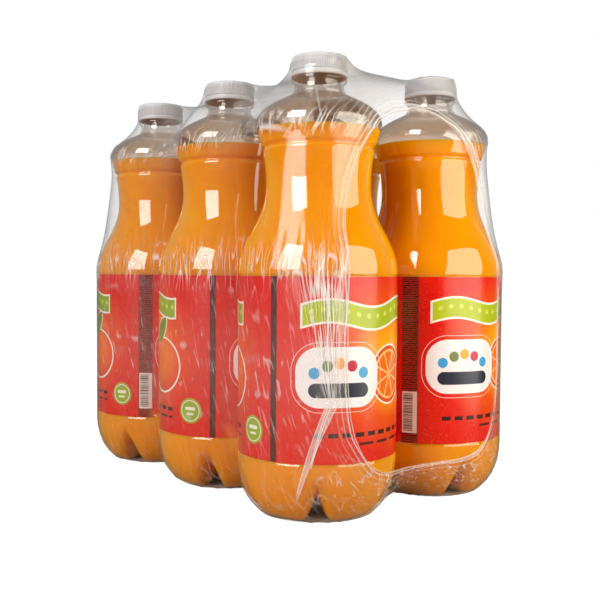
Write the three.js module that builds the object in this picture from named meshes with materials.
// Shrink-wrapped pack of six large clear bottles of orange fruit drink, three along X and two along Y.
//
// Each bottle is a clear blown bottle with an hourglass waist and five feet, the drink inside it up to the
// fill level, a printed sleeve label round its straight body, and a white screw cap. One clear film runs
// round the pack over the caps, down both long sides and under the feet. Its two ends are open: they have
// shrunk to a tall oval opening in each short side.
//
// Millimetres, +Z up. The origin is on the ground, under the middle of the pack.

import * as THREE from 'three';

// The pack
const COLUMNS = 3;
const ROWS = 2;
const PITCH = 100.2;

// The film
const FILM_THICKNESS = 0.5;
const FILM_GAP = 1.0;
const TOUCHING_GAP = 0.3;
const BOTTLE_STANDS_AT = FILM_THICKNESS + TOUCHING_GAP;

// The bottle, with its heights measured from its own feet
const BODY_RADIUS = 49.3;
const WAIST_RADIUS = 32.9;
const SHOULDER_RADIUS = 39.3;
const NECK_RADIUS = 15.2;
const MOUTH_RADIUS = 13.2;
const LEDGE_RADIUS = 17.4;
const HEEL_HEIGHT = 33;
const BELLY_HEIGHT = 148;
const WAIST_HEIGHT = 202;
const SHOULDER_HEIGHT = 238.5;
const NECK_HEIGHT = 258.8;
const LEDGE_HEIGHT = 266.6;
const LEDGE_HALF_HEIGHT = 1.2;
const MOUTH_HEIGHT = 279;
const WALL = 0.9;
const SEGMENTS = 20;

// The five feet, with a narrow valley between each two
const FEET = 5;
const FOOT_INNER_RADIUS = 27;
const FOOT_OUTER_RADIUS = 34.5;
const HEEL_MIDDLE = { radius: 44.8, height: 13.9, valleyRadius: 45.8 };
const DOME_HEIGHT = 9;

// The drink, the label and the cap
const FILL_HEIGHT = 234.9;
const LABEL_INNER_RADIUS = BODY_RADIUS + TOUCHING_GAP;
const LABEL_OUTER_RADIUS = 49.9;
const LABEL_FOOT = 37.4;
const LABEL_TOP = 145.2;
const CAP_RADIUS = 17.8;
const CAP_TOP_RADIUS = 16.2;
const CAP_BORE = 15.6;
const CAP_FOOT = 268.2;
const CAP_TOP = 280.7;
const CAP_EDGE = 1.4;
const CAP_SEGMENTS = 16;

// How far each bottle is turned about its own axis, in degrees: its feet and its label were never lined up
const BOTTLE_TURNS = [[-62, -50, -38.6], [24, 8, -15.8]];

const point = (radius, height) => new THREE.Vector2(radius, height);

const curve = (start, pullStart, pullEnd, end, steps) =>
  new THREE.CubicBezierCurve(start, pullStart, pullEnd, end).getPoints(steps).slice(1);

// The floor of the valley between two feet rises along part of an ellipse from the dome to the heel
function valleyHeight(radius) {
  const share = Math.min(radius / BODY_RADIUS, 1);
  return DOME_HEIGHT + (HEEL_HEIGHT - DOME_HEIGHT) * (1 - Math.sqrt(1 - share * share));
}

// From the middle of the underside out over a foot, or along a valley, to the top of the heel
function baseOutline(inValley) {
  const stations = [
    [0, DOME_HEIGHT, 0],
    [FOOT_INNER_RADIUS, 0, FOOT_INNER_RADIUS],
    [FOOT_OUTER_RADIUS, 0, FOOT_OUTER_RADIUS],
    [HEEL_MIDDLE.radius, HEEL_MIDDLE.height, HEEL_MIDDLE.valleyRadius],
    [BODY_RADIUS, HEEL_HEIGHT, BODY_RADIUS],
  ];
  return stations.map(([radius, height, valleyRadius]) =>
    inValley ? point(valleyRadius, valleyHeight(valleyRadius)) : point(radius, height));
}

// From the straight body in over the waist, out to the shoulder and in to the foot of the neck
function wallOutline() {
  const belly = point(BODY_RADIUS, BELLY_HEIGHT);
  const waist = point(WAIST_RADIUS, WAIST_HEIGHT);
  const shoulder = point(SHOULDER_RADIUS, SHOULDER_HEIGHT);
  const neck = point(NECK_RADIUS, NECK_HEIGHT);
  return [
    belly,
    ...curve(belly, point(BODY_RADIUS, 168), point(WAIST_RADIUS, 178), waist, 3),
    ...curve(waist, point(33.4, 226), point(SHOULDER_RADIUS, 234), shoulder, 2),
    ...curve(shoulder, point(SHOULDER_RADIUS, 247.5), point(29, 251.5), neck, 3),
  ];
}

// The same outline moved square to itself by a distance, towards the axis and the inside of the bottle
function movedInward(outline, distance) {
  return outline.map((here, i) => {
    const before = outline[Math.max(i - 1, 0)];
    const after = outline[Math.min(i + 1, outline.length - 1)];
    const along = after.clone().sub(before).normalize();
    const onAxis = here.x === 0;
    return onAxis
      ? point(0, here.y + distance)
      : point(here.x - along.y * distance, here.y + along.x * distance);
  });
}

// 1 along the middle of a valley, falling to 0 where a foot starts
const valleyShare = (angle) => Math.max(0, Math.cos(FEET * angle));

// A body of revolution from a lathe, whose vertices are then moved towards the valley outline near each valley
function turned(footOutline, valleyOutline, segments) {
  const geometry = new THREE.LatheGeometry(footOutline, segments);
  const position = geometry.getAttribute('position');
  const stations = footOutline.length;
  for (let k = 0; k < position.count; k++) {
    const station = k % stations;
    const angle = ((Math.floor(k / stations) % segments) * 2 * Math.PI) / segments;
    const spot = footOutline[station].clone().lerp(valleyOutline[station], valleyShare(angle));
    position.setXYZ(k, spot.x * Math.cos(angle), spot.x * Math.sin(angle), spot.y);
  }
  return new THREE.BufferGeometry().setAttribute('position', position).setIndex(geometry.index);
}

const lathed = (outline, segments) => turned(outline, outline, segments);

// A lathe whose outline runs downwards faces the axis: turning each triangle round makes it face out
function facingOut(geometry) {
  const corners = geometry.index.array;
  for (let k = 0; k < corners.length; k += 3) [corners[k], corners[k + 1]] = [corners[k + 1], corners[k]];
  return geometry;
}

function bottleGeometry() {
  const side = (inValley) => {
    const skin = [...baseOutline(inValley), ...wallOutline()];
    const cavity = movedInward(skin, WALL).slice(0, -1).reverse();
    return [
      ...skin,
      point(NECK_RADIUS, LEDGE_HEIGHT - LEDGE_HALF_HEIGHT),
      point(LEDGE_RADIUS, LEDGE_HEIGHT),
      point(NECK_RADIUS, LEDGE_HEIGHT + LEDGE_HALF_HEIGHT),
      point(NECK_RADIUS, MOUTH_HEIGHT),
      point(MOUTH_RADIUS, MOUTH_HEIGHT),
      point(MOUTH_RADIUS, NECK_HEIGHT - WALL),
      ...cavity,
    ];
  };
  return turned(side(false), side(true), SEGMENTS);
}

// Its outline runs down as the cavity's does, so that the facets of the two lie side by side
function drinkGeometry() {
  const side = (inValley) => {
    const surface = movedInward([...baseOutline(inValley), ...wallOutline()], WALL + TOUCHING_GAP);
    const above = surface.findIndex((spot) => spot.y > FILL_HEIGHT);
    const [low, high] = [surface[above - 1], surface[above]];
    const brim = low.clone().lerp(high, (FILL_HEIGHT - low.y) / (high.y - low.y));
    return [...surface.slice(0, above), brim, point(0, FILL_HEIGHT)].reverse();
  };
  return facingOut(turned(side(false), side(true), SEGMENTS));
}

function labelGeometry() {
  const outline = [
    point(LABEL_INNER_RADIUS, LABEL_FOOT),
    point(LABEL_OUTER_RADIUS, LABEL_FOOT),
    point(LABEL_OUTER_RADIUS, LABEL_TOP),
    point(LABEL_INNER_RADIUS, LABEL_TOP),
  ];
  return lathed([...outline, outline[0]], SEGMENTS);
}

function capGeometry() {
  const ceiling = MOUTH_HEIGHT + TOUCHING_GAP;
  return lathed([
    point(0, ceiling),
    point(CAP_BORE, ceiling),
    point(CAP_BORE, CAP_FOOT),
    point(CAP_RADIUS, CAP_FOOT),
    point(CAP_RADIUS, CAP_TOP - CAP_EDGE),
    point(CAP_TOP_RADIUS, CAP_TOP),
    point(0, CAP_TOP),
  ], CAP_SEGMENTS);
}

const bottleCentres = [];
for (let row = 0; row < ROWS; row++) {
  for (let column = 0; column < COLUMNS; column++) {
    bottleCentres.push({
      row,
      column,
      x: (column - (COLUMNS - 1) / 2) * PITCH,
      y: (row - (ROWS - 1) / 2) * PITCH,
    });
  }
}

// The film. A net of springs starts as a loose sleeve round the pack and is pulled tight, while the bottles
// push it out. The edge of the net keeps to the oval opening in the short side and only moves along X.
// The pack is the same to either side of both its middle planes, so one quarter of the net makes all of it.

// Cell sizes: from the middle of the pack to the opening, and from the top middle down to the bottom middle.
// Over the caps the net is a level grid whose lines run beside them: there its points only move up and down.
const ALONG_CELLS = [18.4, 22.6, 19.2, 22.2, 17.8, 18.4, 16, 20, 21];
const LOOP_CELLS = [11, 10.5, 10.5, 12.5, 12.5, 12, 17, 30, 52, 54, 58, 30, 15, 15, 85];
const GRID_ROWS = 7;
const GRID_COLUMNS = 7;
const LOOP_TENSION = 2.2;
const PULLS = 500;
const PULL_SHARE = 0.6;
const TESTS_PER_CELL = 4;
const FILM_CEILING = BOTTLE_STANDS_AT + CAP_TOP + FILM_GAP + 0.2;
const FILM_HALF_WIDTH = ((ROWS - 1) / 2) * PITCH + LABEL_OUTER_RADIUS + FILM_GAP + 0.6;

// The opening: arched above its widest height and boxy below it
const OPENING = { halfWidth: 68, widestAt: 120, top: 241, foot: 27, archPower: 2.4, boxPower: 4 };
const LOOSE_SLEEVE = { halfWidth: 112, top: 294, foot: -8, power: 7, endX: 156 };

// What the film touches, as one outline from the underside of a bottle to the middle of its cap, with its
// hollows bridged as tight film bridges them. The underside is raised to let the film keep its usual gap.
function touchedOutline() {
  const lowest = FILM_THICKNESS + FILM_GAP;
  const outline = [
    point(0, 0),
    point(FOOT_OUTER_RADIUS + FILM_GAP, 0),
    ...baseOutline(false).slice(3),
    point(LABEL_OUTER_RADIUS, LABEL_FOOT),
    point(LABEL_OUTER_RADIUS, LABEL_TOP),
    ...wallOutline(),
    point(CAP_RADIUS, CAP_TOP - CAP_EDGE),
    point(CAP_TOP_RADIUS, CAP_TOP),
    point(0, CAP_TOP),
  ].map((spot) => point(spot.x, Math.max(spot.y + BOTTLE_STANDS_AT, lowest)));
  const bridged = [];
  for (const spot of outline) {
    const hollow = () => {
      const [a, b] = bridged.slice(-2);
      return (b.x - a.x) * (spot.y - b.y) - (b.y - a.y) * (spot.x - b.x) <= 0;
    };
    while (bridged.length > 1 && hollow()) bridged.pop();
    bridged.push(spot);
  }
  return bridged;
}

const touched = touchedOutline();

// The move, in radius and height, that brings a point clear of the outline, or null where it is clear already
function moveClear(radius, height) {
  let nearest = null;
  let least = Infinity;
  let outside = false;
  for (let i = 0; i + 1 < touched.length; i++) {
    const a = touched[i];
    const b = touched[i + 1];
    const run = b.x - a.x;
    const rise = b.y - a.y;
    const along = ((radius - a.x) * run + (height - a.y) * rise) / (run * run + rise * rise);
    const share = Math.min(Math.max(along, 0), 1);
    const offRadius = radius - a.x - run * share;
    const offHeight = height - a.y - rise * share;
    const distance = Math.hypot(offRadius, offHeight);
    outside ||= (radius - a.x) * rise - (height - a.y) * run > 0;
    if (distance < least) {
      least = distance;
      nearest = [offRadius, offHeight];
    }
  }
  if (outside && least >= FILM_GAP) return null;
  const scale = ((outside ? 1 : -1) * FILM_GAP) / Math.max(least, 1e-9) - 1;
  return [nearest[0] * scale, nearest[1] * scale];
}

// The move that takes a point of the film clear of the bottles
function pushOut(spot) {
  const push = new THREE.Vector3();
  for (const centre of bottleCentres) {
    const dx = spot.x - centre.x;
    const dy = spot.y - centre.y;
    const radius = Math.hypot(dx, dy);
    if (radius > LABEL_OUTER_RADIUS + FILM_GAP) continue;
    const move = moveClear(radius, spot.z);
    if (!move) continue;
    const spread = move[0] / Math.max(radius, 1e-9);
    push.add(new THREE.Vector3(dx * spread, dy * spread, move[1]));
  }
  return push;
}

// A rounded box at one turn round the loop, from 0 at the top middle to half a turn at the bottom middle
function ringPoint(turn, { halfWidth, widestAt, top, foot }, power) {
  const across = Math.sin(turn);
  const up = Math.cos(turn);
  const size = (Math.abs(across) ** power + Math.abs(up) ** power) ** (-1 / power);
  const reach = up > 0 ? top - widestAt : widestAt - foot;
  return { y: halfWidth * across * size, z: widestAt + reach * up * size };
}

function looseNet() {
  const loopLength = LOOP_CELLS.reduce((sum, cell) => sum + cell, 0);
  const sleeve = { ...LOOSE_SLEEVE, widestAt: (LOOSE_SLEEVE.top + LOOSE_SLEEVE.foot) / 2 };
  const net = [];
  let x = 0;
  for (let i = 0; i <= ALONG_CELLS.length; i++) {
    const closing = Math.max(0, (x - PITCH) / 63);
    const bend = (Math.min(closing, 1) * Math.PI) / 2;
    const row = [];
    let travelled = 0;
    for (let j = 0; j <= LOOP_CELLS.length; j++) {
      const turn = (Math.PI * travelled) / loopLength;
      const loose = ringPoint(turn, sleeve, LOOSE_SLEEVE.power);
      const edge = ringPoint(turn, OPENING, Math.cos(turn) > 0 ? OPENING.archPower : OPENING.boxPower);
      const share = 1 - Math.cos(bend);
      row.push(new THREE.Vector3(
        i < GRID_ROWS ? x : PITCH + (LOOSE_SLEEVE.endX - PITCH) * Math.sin(bend),
        i < GRID_ROWS && j < GRID_COLUMNS ? travelled : loose.y + (edge.y - loose.y) * share,
        loose.z + (edge.z - loose.z) * share));
      travelled += LOOP_CELLS[j];
    }
    net.push(row);
    x += ALONG_CELLS[i];
  }
  return net;
}

const mirroredX = (spot) => new THREE.Vector3(-spot.x, spot.y, spot.z);
const mirroredY = (spot) => new THREE.Vector3(spot.x, -spot.y, spot.z);

// A point of the net after a move, with what its row, its column and the tight film round it don't let it do
// taken back: the film lies level on the caps and on the ground, and flat against the long sides
function held(moved, before, i, j) {
  if (i < GRID_ROWS) moved.x = before.x;
  if (i < GRID_ROWS && j < GRID_COLUMNS) moved.y = before.y;
  if (j === 0 || j === LOOP_CELLS.length) moved.y = 0;
  moved.y = Math.min(moved.y, FILM_HALF_WIDTH);
  moved.z = Math.min(Math.max(moved.z, FILM_THICKNESS), FILM_CEILING);
  return moved;
}

// Every point of the net moves towards its four neighbours, each pulling in proportion to how far it is
function pulled(net, i, j) {
  const lastRow = ALONG_CELLS.length;
  const lastColumn = LOOP_CELLS.length;
  const row = net[i];
  const inward = ALONG_CELLS[Math.max(i - 1, 0)];
  const outward = ALONG_CELLS[Math.min(i, lastRow - 1)];
  const above = LOOP_CELLS[Math.max(j - 1, 0)];
  const below = LOOP_CELLS[Math.min(j, lastColumn - 1)];
  const loopPull = LOOP_TENSION * (inward + outward) / (i === lastRow ? 4 : 2);
  const alongPull = (above + below) / 2;
  const pulls = [
    [j > 0 ? row[j - 1] : mirroredY(row[1]), loopPull / above],
    [j < lastColumn ? row[j + 1] : mirroredY(row[lastColumn - 1]), loopPull / below],
    [i > 0 ? net[i - 1][j] : mirroredX(net[1][j]), alongPull / inward],
  ];
  if (i < lastRow) pulls.push([net[i + 1][j], alongPull / outward]);
  const goal = new THREE.Vector3();
  let weight = 0;
  for (const [neighbour, pull] of pulls) {
    goal.addScaledVector(neighbour, pull);
    weight += pull;
  }
  const next = row[j].clone().lerp(goal.divideScalar(weight), PULL_SHARE);
  if (i === lastRow) return new THREE.Vector3(next.x, row[j].y, row[j].z);
  return held(next, row[j], i, j);
}

// The two triangles of a cell, as places in the net
const cellTriangles = (i, j) => [
  [[i, j], [i + 1, j], [i, j + 1]],
  [[i + 1, j], [i + 1, j + 1], [i, j + 1]],
];

// Each triangle is tested at many points, so that its flat face clears the bottles and not only its corners
function pushNetOut(net) {
  const lastRow = ALONG_CELLS.length;
  for (let i = 0; i < lastRow; i++) {
    for (let j = 0; j < LOOP_CELLS.length; j++) {
      for (const corners of cellTriangles(i, j)) pushTriangleOut(net, corners, lastRow);
    }
  }
}

function pushTriangleOut(net, corners, lastRow) {
  for (let a = 0; a <= TESTS_PER_CELL; a++) {
    for (let b = 0; a + b <= TESTS_PER_CELL; b++) {
      const shares = [a, b, TESTS_PER_CELL - a - b].map((part) => part / TESTS_PER_CELL);
      const sample = new THREE.Vector3();
      corners.forEach(([i, j], k) => sample.addScaledVector(net[i][j], shares[k]));
      const push = pushOut(sample);
      if (push.lengthSq() === 0) continue;
      const strength = shares[0] ** 2 + shares[1] ** 2 + shares[2] ** 2;
      corners.forEach(([i, j], k) => {
        const move = push.clone().multiplyScalar(shares[k] / strength);
        const slide = Math.min(move.lengthSq() / Math.max(move.x, 0.3 * move.length(), 1e-9), 2);
        if (i === lastRow) move.set(slide, 0, 0);
        net[i][j] = held(net[i][j].clone().add(move), net[i][j], i, j);
      });
    }
  }
}

function tightNet() {
  let net = looseNet();
  for (let pull = 0; pull < PULLS; pull++) {
    net = net.map((row, i) => row.map((spot, j) => pulled(net, i, j)));
    pushNetOut(net);
  }
  for (let again = 0; again < 60; again++) pushNetOut(net);
  return net;
}

// The outward direction at each point of the quarter net, square to the film
function netNormals(net) {
  const lastRow = ALONG_CELLS.length;
  const lastColumn = LOOP_CELLS.length;
  return net.map((row, i) => row.map((spot, j) => {
    const inner = i > 0 ? net[i - 1][j] : mirroredX(net[1][j]);
    const outer = i < lastRow ? net[i + 1][j] : spot;
    const above = j > 0 ? row[j - 1] : mirroredY(row[1]);
    const below = j < lastColumn ? row[j + 1] : mirroredY(row[lastColumn - 1]);
    return outer.clone().sub(inner).cross(below.clone().sub(above)).normalize();
  }));
}

function filmGeometry() {
  const inner = tightNet();
  const normals = netNormals(inner);
  const outer = inner.map((row, i) => row.map((spot, j) => {
    const moved = spot.clone().addScaledVector(normals[i][j], FILM_THICKNESS);
    moved.z = Math.max(moved.z, 0);
    return moved;
  }));
  const lastRow = ALONG_CELLS.length;
  const triangles = [];
  for (let j = 0; j < LOOP_CELLS.length; j++) {
    for (let i = 0; i < lastRow; i++) {
      for (const corners of cellTriangles(i, j)) {
        triangles.push(corners.map(([a, b]) => outer[a][b]));
        triangles.push(corners.map(([a, b]) => inner[a][b]).reverse());
      }
    }
    const [near, far] = [outer[lastRow], inner[lastRow]];
    triangles.push([near[j], far[j], near[j + 1]], [far[j], far[j + 1], near[j + 1]]);
  }
  const positions = [];
  for (const [signX, signY] of [[1, 1], [-1, 1], [1, -1], [-1, -1]]) {
    for (const triangle of triangles) {
      const facing = signX * signY > 0 ? triangle : triangle.slice().reverse();
      for (const spot of facing) positions.push(signX * spot.x, signY * spot.y, spot.z);
    }
  }
  return new THREE.BufferGeometry()
    .setAttribute('position', new THREE.Float32BufferAttribute(positions, 3));
}

const clearPlastic = new THREE.MeshStandardMaterial({
  color: 0xb9a58c, roughness: 0.08, metalness: 0, transparent: true, opacity: 0.35,
});
const drinkOrange = new THREE.MeshStandardMaterial({ color: 0xf59a0a, roughness: 0.35, metalness: 0 });
const labelRed = new THREE.MeshStandardMaterial({ color: 0xd9281c, roughness: 0.35, metalness: 0 });
const capWhite = new THREE.MeshStandardMaterial({ color: 0xe4e2e4, roughness: 0.4, metalness: 0 });
const clearFilm = new THREE.MeshStandardMaterial({
  color: 0xf2eeee, roughness: 0.12, metalness: 0, transparent: true, opacity: 0.2,
});

const bottleShape = bottleGeometry();
const drinkShape = drinkGeometry();
const labelShape = labelGeometry();
const capShape = capGeometry();

function named(geometry, material, name) {
  const mesh = new THREE.Mesh(geometry, material);
  mesh.name = name;
  return mesh;
}

const pack = new THREE.Group();
for (const { row, column, x, y } of bottleCentres) {
  const bottle = new THREE.Group();
  bottle.position.set(x, y, BOTTLE_STANDS_AT);
  bottle.rotation.z = THREE.MathUtils.degToRad(BOTTLE_TURNS[row][column]);
  const place = `${row + 1}${column + 1}`;
  bottle.add(
    named(bottleShape, clearPlastic, `bottle_${place}`),
    named(drinkShape, drinkOrange, `drink_${place}`),
    named(labelShape, labelRed, `label_${place}`),
    named(capShape, capWhite, `cap_${place}`),
  );
  pack.add(bottle);
}
pack.add(named(filmGeometry(), clearFilm, 'film'));

export default pack;
